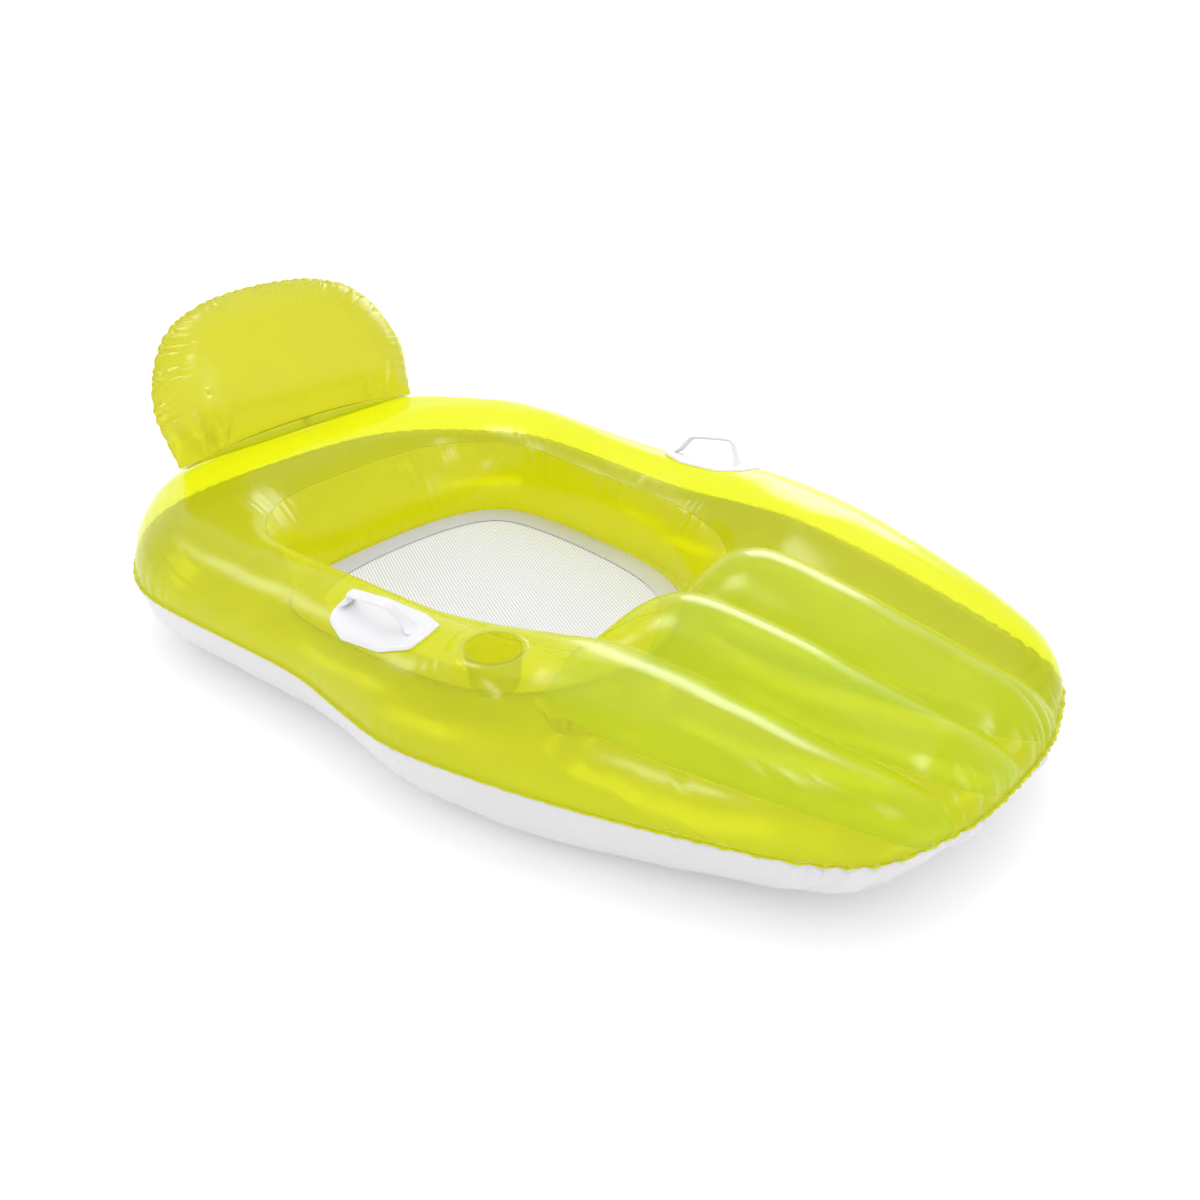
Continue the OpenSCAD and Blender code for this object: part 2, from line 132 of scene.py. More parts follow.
def table(pairs, x):
    """A table's value at x, with its corners rounded off over about 0.04 m."""
    grid = np.linspace(-1, 1, 401)
    y = np.interp(grid, [p[0] for p in pairs], [p[1] for p in pairs])
    spread, reach = 8, 24   # steps of the grid
    bell = np.exp(-0.5 * (np.arange(-reach, reach + 1) / spread) ** 2)
    y = np.convolve(np.pad(y, reach, "edge"), bell / bell.sum(), "valid")
    return np.interp(x, grid, y)


def distance(q, loop, closed=True):
    """Distance in plan from each point to a line of points."""
    a = loop if closed else loop[:-1]
    ab = (np.roll(loop, -1, 0) if closed else loop[1:]) - a
    out = np.empty(len(q))
    batch = 4000   # points at a time, to save memory
    for i in range(0, len(q), batch):
        qa = q[i:i + batch, None] - a[None]
        t = np.clip((qa * ab).sum(-1) / (ab ** 2).sum(-1), 0, 1)
        out[i:i + batch] = np.sqrt(((qa - t[..., None] * ab) ** 2).sum(-1).min(1))
    return out


def round_in(t):
    """0 to 1 along a quarter circle: steep at 0 and level at 1."""
    return np.sqrt(1 - (1 - np.clip(t, 0, 1)) ** 2)


def fade(t):
    """0 to 1, level at both ends."""
    t = np.clip(t, 0, 1)
    return t * t * (3 - 2 * t)


def loop_normals(p):
    """Unit normals of a closed loop in plan, to the right of its run: outwards for the ring's outlines."""
    d = np.roll(p, -1, 0) - np.roll(p, 1, 0)
    n = np.stack([d[:, 1], -d[:, 0]], 1)
    return n / np.linalg.norm(n, axis=1)[:, None]


def grid_normals(g, wrap=True):
    """Unit normals of a grid of points, rows by columns."""
    du = np.roll(g, -1, 1) - np.roll(g, 1, 1) if wrap else np.gradient(g, axis=1)
    dv = np.gradient(g, axis=0)
    n = np.cross(du, dv)
    return n / np.maximum(np.linalg.norm(n, axis=2), 1e-12)[..., None]


def way_along(loop):
    """The way along a closed loop to each of its points, and the way all round it."""
    steps = np.linalg.norm(np.roll(loop, -1, 0) - loop, axis=1)
    return np.concatenate([[0], np.cumsum(steps)[:-1]]), steps.sum()


outer = spline(mirrored(OUTER_HALF), SPAN)
upper = spline(mirrored(UPPER_HALF), SPAN)
lower = spline(mirrored(LOWER_HALF), SPAN)
N = len(outer)
RIGHT_WEB = WEB_AT * SPAN
CENTRE_WEB = (len(OUTER_HALF) - 1) * SPAN
LEFT_WEB = N - RIGHT_WEB
seam_s, SEAM_ROUND = way_along(outer)


def web_dip(q):
    """1 over a web and 0 on the crests between."""
    web_from, web_to = upper[LEFT_WEB], outer[LEFT_WEB]
    wy = web_from[1] + (web_to[1] - web_from[1]) * (q[:, 0] - web_from[0]) / (web_to[0] - web_from[0])
    y = np.abs(q[:, 1])
    half_crest = 0.110   # from a side web out to the side crest
    inner = (2 * y / wy - 1) ** 2
    grown = fade((q[:, 0] - 0.150) / 0.110)   # the side groove grows from the well's corner to the foot
    beyond = grown * (1 - np.minimum(1, (y - wy) / half_crest)) ** 2
    return np.where(q[:, 0] < 0.100, 0, np.where(y < wy, inner, beyond))


def ring_height(q, heights, edge, edge_height, dip):
    """Height from the outer seam of a film that is edge_height from it at the weld of the well."""
    h = table(heights, q[:, 0] / SX)
    start = 1 - np.sqrt(1 - np.minimum(1, edge_height / h) ** 2)
    return (h * round_in(distance(q, outer) / h) * round_in(start + distance(q, edge) / h)
            * (1 - GROOVE * dip))


def ruffle(s, around, wavelength, wander=1.3):
    """An irregular row of folds along a seam: 0 in each crease and 1 on the rounds between."""
    turn = 2 * np.pi * s / around
    drift = sum(np.sin(k * turn + 1.7 * k) for k in (5, 9, 14, 23)) * wander / 2   # waves that don't line up
    return np.abs(np.sin(0.5 * round(around / wavelength) * turn + drift))


def swell_noise(p, size, seed):
    """Slow, smooth unevenness of a blown-up film, about -1 to 1: five waves of different headings."""
    out = np.zeros(p.shape[:-1])
    golden_angle = 2.399
    for k in range(5):
        a = seed * 1.3 + k * golden_angle
        out += np.sin((p[..., 0] * math.cos(a) + p[..., 1] * math.sin(a) + p[..., 2] * 0.6)
                      * 2 * np.pi / (size * (0.7 + 0.22 * k)) + a * 3)
    return out / 3


FOLDS = ((0.017, 0.0022), (0.034, 0.0036), (0.080, 0.0030))   # (wavelength, height)


def puckers(arc, s, around, gather, folds=FOLDS, reach=0.70):
    """Folds that start at a weld and die away over the film. arc is the way from the weld."""
    out = np.zeros(arc.shape)
    for wavelength, height in folds:
        rise = 1 - np.exp(-arc / (0.10 * wavelength))
        fall = np.exp(-arc / (reach * wavelength))
        bunches = round(around / wavelength / 6.3)   # the folds come in bunches of about six
        bunch = 0.65 + 0.55 * np.sin(2 * np.pi * s / around * bunches + 40 * wavelength)
        out += height * rise * fall * bunch * (ruffle(s, around, wavelength) - 0.72)
    return out * gather


def seam_gather():
    """How strongly the film is gathered along the outer seam: most round the outward corners."""
    step = np.roll(outer, -1, 0) - outer
    heading = np.unwrap(np.arctan2(step[:, 1], step[:, 0]))
    off = 8   # points to either side that the bend is measured over
    turned = (np.roll(heading, -off) - np.roll(heading, off) + np.pi) % (2 * np.pi) - np.pi
    length = (np.roll(seam_s, -off) - np.roll(seam_s, off)) % SEAM_ROUND
    bend = smoothed((turned / length)[:, None], 20)[:, 0]
    tight_bend = 6   # per metre
    foot = fade((outer[:, 0] - 0.45) / 0.25)
    return 0.30 + 1.5 * np.clip(bend / tight_bend, 0, 1) + 0.8 * foot


# ---------------------------------------------------------------------------------------------
# Mesh helpers


def add_mesh(name, verts, faces, material, body):
    """A new smooth mesh that rides on a CAD body, or on none yet if it is to bend between two."""
    mesh = bpy.data.meshes.new(name)
    mesh.from_pydata([tuple(v) for v in verts], [], [tuple(int(i) for i in f) for f in faces])
    mesh.validate()
    mesh.polygons.foreach_set("use_smooth", [True] * len(mesh.polygons))
    mesh.materials.append(material)
    obj = bpy.data.objects.new(name, mesh)
    bpy.context.scene.collection.objects.link(obj)
    if body:
        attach(obj, body)
    return obj


def grid_faces(rows, cols, wrap=True, flip=False):
    """Faces that join a grid of points, kept row by row. wrap joins the last column to the first."""
    j, i = np.meshgrid(np.arange(rows - 1), np.arange(cols if wrap else cols - 1), indexing="ij")
    k = (i + 1) % cols
    f = np.stack([j * cols + i, j * cols + k, (j + 1) * cols + k, (j + 1) * cols + i], -1).reshape(-1, 4)
    return f[:, ::-1] if flip else f


def grid_mesh(name, grid, material, body, wrap=True, flip=False):
    rows, cols = grid.shape[:2]
    return add_mesh(name, grid.reshape(-1, 3), grid_faces(rows, cols, wrap, flip), material, body)


def tube_mesh(name, rings, material, body, flip=False):
    """A tube through rings of points, closed over both its ends."""
    rows, cols = rings.shape[:2]
    verts = np.concatenate([rings.reshape(-1, 3), [rings[0].mean(0), rings[-1].mean(0)]])
    faces = [tuple(f) for f in grid_faces(rows, cols, flip=flip)]
    for hub, first, turn in ((rows * cols, 0, not flip), (rows * cols + 1, (rows - 1) * cols, flip)):
        for i in range(cols):
            a, b = first + i, first + (i + 1) % cols
            faces.append((b, a, hub) if turn else (a, b, hub))
    return add_mesh(name, verts, faces, material, body)


def bead(name, path, radius, material, body, sides=6):
    """A round bead along a closed path."""
    d = np.roll(path, -1, 0) - np.roll(path, 1, 0)
    d /= np.linalg.norm(d, axis=1)[:, None]
    side = np.cross(d, [0, 0, 1.0])
    side /= np.linalg.norm(side, axis=1)[:, None]
    up = np.cross(side, d)
    a = (np.arange(sides) * 2 * np.pi / sides)[:, None, None]
    ring = path[None] + radius * (np.cos(a) * side[None] + np.sin(a) * up[None])
    faces = grid_faces(sides + 1, len(path)) % (sides * len(path))   # the last row joins the first
    return add_mesh(name, ring.reshape(-1, 3), faces, material, body)


def at_height(p, z):
    """Points in plan, put at a height."""
    return np.column_stack([p, np.broadcast_to(z, len(p))])


# ---------------------------------------------------------------------------------------------
# Materials


class Nodes:
    """A small hand for building a material's node tree."""

    def __init__(self, name):
        self.material = bpy.data.materials.new(name)
        self.material.use_nodes = True
        self.tree = self.material.node_tree
        self.tree.nodes.clear()
        self.out = self.add("ShaderNodeOutputMaterial")

    def add(self, kind, **inputs):
        node = self.tree.nodes.new(kind)
        for key, value in inputs.items():
            self.put(node, key.replace("_", " "), value)
        return node

    def put(self, node, key, value):
        """Set or link an input, by its name or as n0, n1 ... by its place."""
        socket = node.inputs[int(key[1:])] if key[0] == "n" and key[1:].isdigit() else node.inputs[key]
        if isinstance(value, bpy.types.NodeSocket):
            self.tree.links.new(value, socket)
        elif isinstance(value, bpy.types.Node):
            self.tree.links.new(value.outputs[0], socket)
        else:
            socket.default_value = value

    def math(self, op, a, b=0.0, c=0.0):
        node = self.add("ShaderNodeMath")
        node.operation = op
        for i, v in enumerate((a, b, c)):
            self.put(node, f"n{i}", v)
        return node.outputs[0]

    def ramp(self, value, stops):
        node = self.add("ShaderNodeValToRGB")
        while len(node.color_ramp.elements) < len(stops):
            node.color_ramp.elements.new(0.5)
        for element, (at, colour) in zip(node.color_ramp.elements, stops):
            element.position = at
            element.color = (*colour, 1)
        self.put(node, "Fac", value)
        return node.outputs[0]

    def mix_shader(self, share, a, b):
        node = self.add("ShaderNodeMixShader")
        for i, v in enumerate((share, a, b)):
            self.put(node, f"n{i}", v)
        return node.outputs[0]

    def noise(self, size, detail=2.0):
        """Noise whose features are about that size, in metres."""
        where = self.add("ShaderNodeTexCoord").outputs["Object"]
        return self.add("ShaderNodeTexNoise", Vector=where, Scale=1 / size, Detail=detail).outputs[0]

    def bump(self, height, depth, strength=1.0):
        return self.add("ShaderNodeBump", Height=height, Distance=depth, Strength=strength).outputs[0]

    def gloss(self, face_on=0.022, edge_on=0.50):
        """How much a thin film mirrors, face on and edge on. It is the same from both sides."""
        facing = self.add("ShaderNodeLayerWeight", Blend=0.5).outputs["Facing"]
        return self.math("MULTIPLY_ADD", self.math("POWER", facing, 4.0), edge_on - face_on, face_on)

    def done(self, surface):
        self.put(self.out, "Surface", surface)
        return self.material


def film_material(name, tint, body_colour, clear, rough=0.22):
    """Clear coloured vinyl: part of the light goes through tinted, the rest scatters, under a gloss."""
    m = Nodes(name)
    blotch = m.noise(0.09, 3)
    orange_peel = m.bump(m.noise(0.004, 2), 0.00012, 0.5)
    see = m.add("ShaderNodeBsdfTransparent", Color=(*tint, 1))
    glow = m.add("ShaderNodeBsdfTranslucent", Color=(*body_colour, 1))
    skin = m.add("ShaderNodeBsdfPrincipled", Base_Color=(*body_colour, 1), Normal=orange_peel,
                 Roughness=m.math("MULTIPLY_ADD", blotch, 0.10, rough - 0.05))
    skin.inputs["Specular IOR Level"].default_value = 0.0
    cloud = m.mix_shader(0.45, skin, glow)
    film = m.mix_shader(m.math("MULTIPLY_ADD", blotch, 0.08, 1 - clear - 0.04), see, cloud)
    shine = m.add("ShaderNodeBsdfGlossy", Color=(1, 1, 1, 1), Normal=orange_peel,
                  Roughness=m.math("MULTIPLY_ADD", blotch, 0.10, rough - 0.05))
    return m.done(m.mix_shader(m.gloss(), film, shine))


lime = film_material("lime_film_vinyl", (0.930, 0.948, 0.062), (0.77, 0.81, 0.010), clear=0.72)
lime_wall = film_material("lime_wall_vinyl", (0.985, 0.98, 0.07), (0.90, 0.90, 0.008), clear=0.66)
lime_web = film_material("lime_web_vinyl", (0.91, 0.985, 0.17), (0.71, 0.86, 0.022), clear=0.66)
lime_rest = film_material("lime_backrest_vinyl", (0.97, 0.965, 0.22), (0.88, 0.87, 0.045), clear=0.66)
# Darker and cloudier than the lime film: on the well's floor weld, its two films pressed together; on the
# single-film hem, painted shade under the pillow's lower edge
lime_weld_and_shade = film_material("lime_weld_and_shade_vinyl", (0.74, 0.76, 0.03), (0.62, 0.64, 0.008), clear=0.35)


def plain_vinyl(name, colour, rough, bump_size=0.006, bump_depth=0.0002, sheen=0.3):
    """Opaque vinyl: a slightly uneven colour and gloss, with a fine grain."""
    m = Nodes(name)
    blotch = m.noise(0.12, 3)
    tone = m.ramp(blotch, [(0.3, tuple(c * 0.965 for c in colour)), (0.7, colour)])
    skin = m.add("ShaderNodeBsdfPrincipled", Base_Color=tone,
                 Normal=m.bump(m.noise(bump_size), bump_depth, 0.5),
                 Roughness=m.math("MULTIPLY_ADD", blotch, 0.12, rough - 0.06))
    skin.inputs["Coat Weight"].default_value = sheen
    skin.inputs["Coat Roughness"].default_value = 0.12
    return m.done(skin)


# Two copies of one white vinyl: the backrest's rear copy is lighter, as painted light for its brighter
# inside
white = plain_vinyl("white_film_vinyl", (0.66, 0.65, 0.665), 0.30)
lit_white_rest = plain_vinyl("white_backrest_lit_vinyl", (0.76, 0.75, 0.765), 0.30)
# The seat border is white vinyl: its colour is darkened and blued as painted shade from the well's wall
border_shade_vinyl = plain_vinyl("seat_border_painted_shade", (0.50, 0.49, 0.62), 0.45, 0.002, 0.00006, 0.1)
moulded = plain_vinyl("moulded_white_vinyl", (0.74, 0.74, 0.765), 0.38, 0.0015, 0.00008, 0.15)


def clear_material():
    """The cup's and the valves' vinyl: clear, its tint and scatter yellowed with painted lime light from the
    film round it.
    """
    m = Nodes("clear_soft_vinyl")
    blotch = m.noise(0.02, 2)
    # The yellow in these colours is painted light from the lime film, not the clear vinyl's own
    see = m.add("ShaderNodeBsdfTransparent", Color=(0.92, 0.92, 0.45, 1))
    skin = m.add("ShaderNodeBsdfPrincipled", Base_Color=(0.72, 0.76, 0.20, 1), Roughness=0.3)
    film = m.mix_shader(m.math("MULTIPLY_ADD", blotch, 0.06, 0.08), see, skin)
    shine = m.add("ShaderNodeBsdfGlossy", Color=(1, 1, 1, 1), Roughness=0.2)
    return m.done(m.mix_shader(m.gloss(edge_on=0.30), film, shine))


clear = clear_material()


def mesh_material():
    """Open coated mesh: two sets of threads across each other on the diagonal, with holes between."""
    m = Nodes("seat_mesh_weave")
    where = m.add("ShaderNodeSeparateXYZ", Vector=m.add("ShaderNodeTexCoord").outputs["Object"])
    pitch = 0.0056
    way_x, way_y = 0.45, 0.89   # the first threads' normal
    along = m.math("MULTIPLY_ADD", where.outputs[1], way_y, m.math("MULTIPLY", where.outputs[0], way_x))
    across = m.math("MULTIPLY_ADD", where.outputs[1], -way_x, m.math("MULTIPLY", where.outputs[0], way_y))
    threads = [m.math("SINE", m.math("MULTIPLY", v, 2 * math.pi / pitch)) for v in (along, across)]
    broad = m.math("GREATER_THAN", threads[0], -0.80)   # the first set is broad, with narrow gaps
    narrow = m.math("GREATER_THAN", threads[1], 0.10)
    solid = m.math("MAXIMUM", broad, narrow)
    # Darker and bluer toward the broad threads' edges and on the narrow threads seen between them: painted
    # shade of the round, crossing threads
    tone = m.ramp(m.math("MULTIPLY_ADD", threads[0], 0.5, 0.5),
                  [(0.12, (0.40, 0.40, 0.48)), (0.50, (0.86, 0.86, 0.96))])
    thread = m.add("ShaderNodeBsdfPrincipled", Base_Color=tone, Roughness=0.55,
                   Normal=m.bump(m.math("MAXIMUM", threads[0], threads[1]), 0.0006, 0.5))
    return m.done(m.mix_shader(solid, m.add("ShaderNodeBsdfTransparent"), thread))


mesh_cloth = mesh_material()

# ---------------------------------------------------------------------------------------------
# The ring and the deck
gather = seam_gather()
share = np.linspace(0, 1, ROWS + 1) ** ROW_CROWDING


def spokes(edge):
    """Points in plan from the outer seam to an inner outline, row by row."""
    return outer[None] + (edge - outer)[None] * share[:, None, None]


def film_grid(edge, heights, edge_height, sign, dip_fade):
    """A film of the ring from the outer seam to a weld of the well, before its puckers."""
    q = spokes(edge)
    flat = q.reshape(-1, 2)
    dip = web_dip(flat) * dip_fade(flat)
    rise = ring_height(flat, heights, edge, edge_height(flat), dip).reshape(q.shape[:2])
    if sign < 0:
        soft = 0.004   # the film rounds into its flat patch on the ground
        z = SEAM_Z - rise
        rise = SEAM_Z - np.maximum(0, 0.5 * (z + np.sqrt(z ** 2 + soft ** 2)) - soft / 2)
    rise[0] = 0
    return np.dstack([q, SEAM_Z + sign * rise])


def arc_from_first(grid):
    """The way along each column of a grid from its first row."""
    steps = np.linalg.norm(np.diff(grid, axis=0), axis=2)
    return np.concatenate([np.zeros((1, grid.shape[1])), np.cumsum(steps, 0)])


def add_folds(grid, sign, inner_gather, reach):
    """Puckers along both welds of a film, and a slow unevenness between them."""
    arc = arc_from_first(grid)
    back = arc[-1] - arc
    fold = puckers(arc, seam_s[None], SEAM_ROUND, gather[None], reach=reach)
    fold += puckers(back, seam_s[None] + 0.013, SEAM_ROUND, inner_gather[None])
    hold = fade(arc / 0.03) * fade(back / 0.03)
    fold += 0.0009 * hold * swell_noise(grid, 0.16, 1.0 + sign)
    fold += 0.0015 * hold * swell_noise(grid, 0.35, 4.0)
    return grid + fold[..., None] * grid_normals(grid)


def upper_edge(q):
    return table(EDGE_RISE, q[:, 0] / SX)


def lower_edge(q):
    return np.full(len(q), SEAM_Z - MESH_Z)


top = film_grid(upper, RISE, upper_edge, 1, lambda q: 1.0)
bottom = film_grid(lower, DROP, lower_edge, -1, lambda q: fade(distance(q, lower) / 0.08))

# The film is flat round the cup's mouth.
cup_low, cup_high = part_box("cup_holder")
CUP = np.array([(cup_low.x + cup_high.x) / 2, (cup_low.y + cup_high.y) / 2])
CUP_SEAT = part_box("cup_ring")[0].z - 0.0002
CUP_FLAT, CUP_FADE = 0.046, 0.034   # radius of the flat, and how far it runs out into the ring's curve
CUP_HOLE = 0.040
VALVE_HOLE = 0.011
HOLE_REACH = 0.02       # how far along its axis a hole is cut
keep = fade(1 - (np.linalg.norm(top[..., :2] - CUP, axis=2) - CUP_FLAT) / CUP_FADE)
top[..., 2] += (CUP_SEAT - top[..., 2]) * keep

inner_gather = np.full(N, 0.22)
top_folded = add_folds(top, 1, inner_gather, 0.8)
top_folded += (top - top_folded) * keep[..., None]
bottom_folded = add_folds(bottom, -1, inner_gather * 0.5, 1.5)
bottom_folded[..., 2] = np.maximum(bottom_folded[..., 2], 0)

# The flange: both films pressed flat outside the seam, a little wavy where the film is gathered
wave = 0.0012 * gather * (2 * ruffle(seam_s, SEAM_ROUND, 0.034) - 1)
scallop = 1 - 0.30 * np.minimum(gather, 1.2) * (1 - ruffle(seam_s, SEAM_ROUND, 0.017))
out = loop_normals(outer)


def flange_rows(width, lift):
    """Two rows of a film's flange, its edge and half way in, at a height over the seam."""
    return np.stack([np.column_stack([outer + out * (w * scallop)[:, None],
                                      SEAM_Z + lift + wave * w / FLANGE]) for w in (width, width * 0.5)])


top_sheet = np.concatenate([flange_rows(FLANGE, 0.0003), top_folded])
bottom_sheet = np.concatenate([flange_rows(FLANGE + 0.001, -0.0003), bottom_folded])
top_film = grid_mesh("top_film", top_sheet, lime, "float")
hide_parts("top_panel")
bottom_film = grid_mesh("bottom_film", bottom_sheet, white, "float", flip=True)
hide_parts("bottom_panel")


def cut_hole(obj, centre, axis, radius):
    """Take out the faces round an axis, for a fitting that passes through the film."""
    axis = Vector(axis).normalized()
    mesh = obj.data
    gone = []
    for p in mesh.polygons:
        d = p.center - Vector(centre)
        if abs(d.dot(axis)) < HOLE_REACH and (d - axis * d.dot(axis)).length < radius:
            gone.append(p.index)
    bm = bmesh.new()
    bm.from_mesh(mesh)
    bm.faces.ensure_lookup_table()
    bmesh.ops.delete(bm, geom=[bm.faces[i] for i in gone], context="FACES")
    bm.to_mesh(mesh)
    bm.free()


def cut_valve_hole(obj, valve):
    """Take out the faces round a valve's stem, under its weld flange."""
    stem_low, stem_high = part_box(valve + "_stem")
    cut_hole(obj, (stem_low + stem_high) / 2, JOINTS[valve + "_press"]["axis"], VALVE_HOLE)


cut_hole(top_film, (*CUP, CUP_SEAT), (0, 0, 1), CUP_HOLE)
cut_valve_hole(top_film, "ring_valve")

# The well's wall, swelling inwards, with folds where its welds turn
WALL_ROWS = 28
WALL_SWELL = 0.016
w = np.linspace(0, 1, WALL_ROWS + 1)[:, None, None]
wall_top = top_folded[-1] - np.array([0, 0, 0.0004])
wall_low = at_height(lower, MESH_Z)
inward = -at_height(loop_normals(upper), 0)
wall = wall_top[None] * (1 - w) + wall_low[None] * w + inward[None] * WALL_SWELL * np.sin(np.pi * w) ** 0.8
upper_s, UPPER_ROUND = way_along(upper)
wall_arc = arc_from_first(wall)
wall_fold = puckers(wall_arc, upper_s[None], UPPER_ROUND, 0.7)
wall_fold += puckers(wall_arc[-1] - wall_arc, upper_s[None] + 0.02, UPPER_ROUND, 0.5)
wall += wall_fold[..., None] * inward[None]
wall_film = grid_mesh("well_wall_film", wall, lime_wall, "float", flip=True)
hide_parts("seat_wall")
bead("well_top_weld", wall_top + np.array([0, 0, 0.0006]), 0.0009, lime, "float")


def flat_ring(name, inner, outer_edge, z, material, rows=3):
    """A level strip between two outlines."""
    steps = np.linspace(0, 1, rows)[:, None, None]
    grid = inner[None] * (1 - steps) + outer_edge[None] * steps
    grid = np.dstack([grid, np.full(grid.shape[:2], z)])
    return grid_mesh(name, grid, material, "float", flip=True)


lower_out = loop_normals(lower)
flat_ring("well_floor_weld", lower + lower_out * 0.0005, lower + lower_out * 0.006, MESH_Z + 0.0012,
          lime_weld_and_shade)

# The webs: upright films under the grooves, from the well's wall to the foot
for web_name, spoke in (("right_web", RIGHT_WEB), ("centre_web", CENTRE_WEB), ("left_web", LEFT_WEB)):
    low, high = bottom_folded[2:, spoke], top_folded[2:, spoke]
    steps = np.linspace(0, 1, 9)[:, None, None]
    sheet = low[None] * (1 - steps) + high[None] * steps
    web = grid_mesh(web_name + "_film", sheet[:, ::-1], lime_web, "float", wrap=False)
    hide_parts(web_name)

# ---------------------------------------------------------------------------------------------
# The mesh seat: a flat sheet, and the smooth strip welded over its edge
BORDER = 0.042
SAG = 0.004
seat_edge = lower - lower_out * 0.002
seat_centre = seat_edge.mean(0)
seat_rows = np.linspace(1, 0.0005, 26)[:, None, None]
seat = seat_centre + (seat_edge - seat_centre)[None] * seat_rows
sag = SAG * (1 - seat_rows[..., 0] ** 2) * np.ones(seat.shape[:2])
seat = np.dstack([seat, MESH_Z - 0.0003 - sag])
seat_mesh = grid_mesh("seat_mesh", seat[:, ::2], mesh_cloth, "float")
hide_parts("mesh_floor")
border_inner = smoothed(lower - lower_out * BORDER, 40)   # without the tight corners by the webs
# The border's colour is painted shade, darker and bluer than its white vinyl
border = flat_ring("seat_border", border_inner, lower - lower_out * 0.001, MESH_Z + 0.0002,
                   border_shade_vinyl, rows=6)
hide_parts("mesh_border")

# ---------------------------------------------------------------------------------------------
# The cup and the washer that welds it to the film


def revolved(profile, centre, sides=96):
    """Rows of points round a vertical line from a profile of (radius, height)."""
    a = np.arange(sides) * 2 * np.pi / sides
    profile = np.asarray(profile, float)
    return np.stack([np.column_stack([centre[0] + r * np.cos(a), centre[1] + r * np.sin(a),
                                      np.full(sides, centre[2] + z)]) for r, z in profile])


def fine_profile(points, n=10):
    """A profile through the points with its corners a little rounded."""
    p = np.asarray(points, float)
    t = np.linspace(0, len(p) - 1, (len(p) - 1) * n + 1)
    q = np.column_stack([np.interp(t, range(len(p)), p[:, k]) for k in (0, 1)])
    for _ in range(3):
        q[1:-1] = 0.25 * q[:-2] + 0.5 * q[1:-1] + 0.25 * q[2:]
    return q


CUP_H = cup_high.z - cup_low.z
MOUTH_R = (cup_high.x - cup_low.x) / 2 - 0.0016
FLOOR_R = MOUTH_R - 0.006
# (radius, height): up the inside, over the rolled lip and down the outside
cup_profile = fine_profile([
    (0.0005, 0.0016), (FLOOR_R * 0.55, 0.0012), (FLOOR_R - 0.004, 0.0014), (FLOOR_R - 0.0012, 0.005),
    (MOUTH_R - 0.0012, CUP_H - 0.004), (MOUTH_R - 0.0014, CUP_H - 0.0015),
    (MOUTH_R, CUP_H), (MOUTH_R + 0.0014, CUP_H - 0.0015),
    (MOUTH_R + 0.0004, CUP_H - 0.0035), (MOUTH_R, CUP_H - 0.005),
    (FLOOR_R, 0.004), (FLOOR_R - 0.003, 0.0003), (FLOOR_R * 0.5, 0), (0.0005, 0)])
cup = grid_mesh("cup_holder_cup", revolved(cup_profile, (*CUP, cup_low.z)), clear, "float",
                flip=True)
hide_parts("cup_holder")
ring_low, ring_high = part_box("cup_ring")
washer_r = (ring_high.x - ring_low.x) / 2
washer_profile = fine_profile([
    (MOUTH_R + 0.0006, 0.0002), (MOUTH_R + 0.0012, 0.0008), (MOUTH_R + 0.003, 0.0008),
    (washer_r - 0.002, 0.0007), (washer_r, 0)], 6)
washer = grid_mesh("cup_washer", revolved(washer_profile, (*CUP, ring_low.z)), clear, "float",
                   flip=True)
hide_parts("cup_ring")

# ---------------------------------------------------------------------------------------------
# Handles: a base plate that follows the ring, and a broad moulded grip that flexes at its feet
BASE_GAP, BASE_T = 0.0012, 0.0024   # the plate's height over the film, and its thickness
LIP_R = 0.003
RIM_H, RIM_IN, RIM_W = 0.0011, 0.0045, 0.0022   # the raised rim, and how far in from the edge it runs


def top_height(q):
    """The upper film's height over the ground at points in plan, before its puckers."""
    return SEAM_Z + ring_height(q, RISE, upper, upper_edge(q), web_dip(q))


